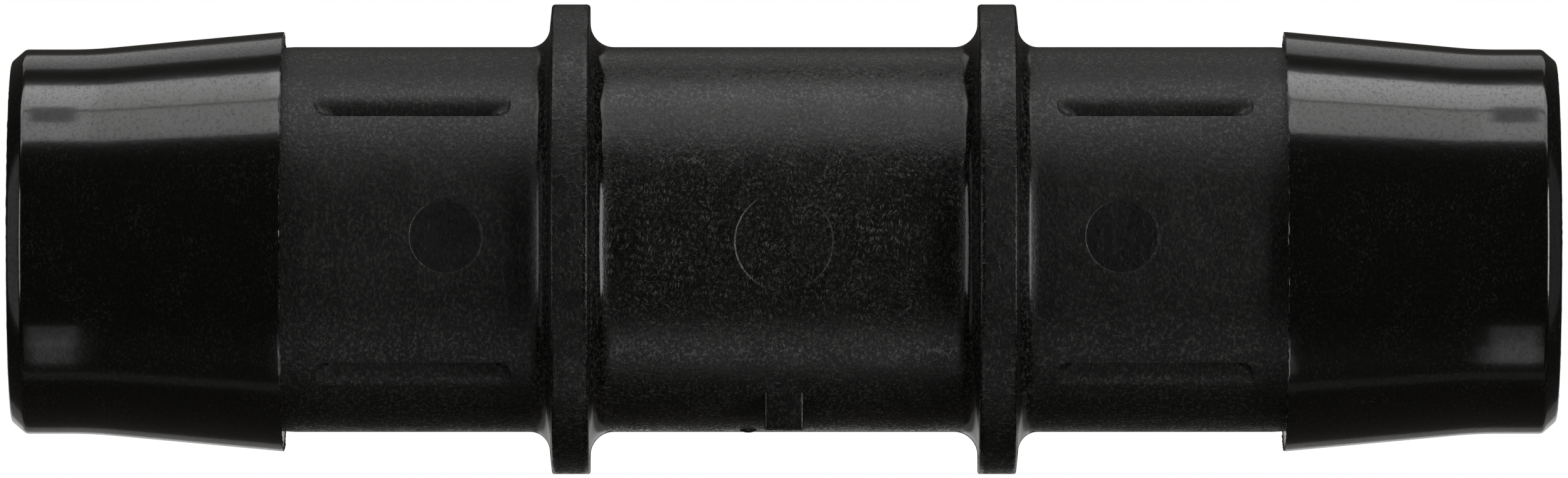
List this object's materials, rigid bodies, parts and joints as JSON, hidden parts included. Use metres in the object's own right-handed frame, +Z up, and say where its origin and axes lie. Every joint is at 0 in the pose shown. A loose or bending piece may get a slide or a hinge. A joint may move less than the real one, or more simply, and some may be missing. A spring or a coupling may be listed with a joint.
{
  "type": "straight barbed hose coupling",
  "caption": "Straight one-piece coupling that joins two hoses: a tapered barb at each end, two stop collars and a through bore.",
  "frame": {"origin": "middle of the coupling, on the bore's axis", "axes": "+X along the bore, +Z up with the gate tab at the bottom, -Y towards the mould half with the ejector marks"},
  "size_m": [0.064, 0.0194, 0.0194],
  "materials": {
    "glass_filled_nylon": "black glass-filled nylon, matte with fibre marks between the barbs and glossy on the barbs"
  },
  "bodies": {
    "root": {"coupling_moulding": "glass_filled_nylon"}
  },
  "joints": []
}
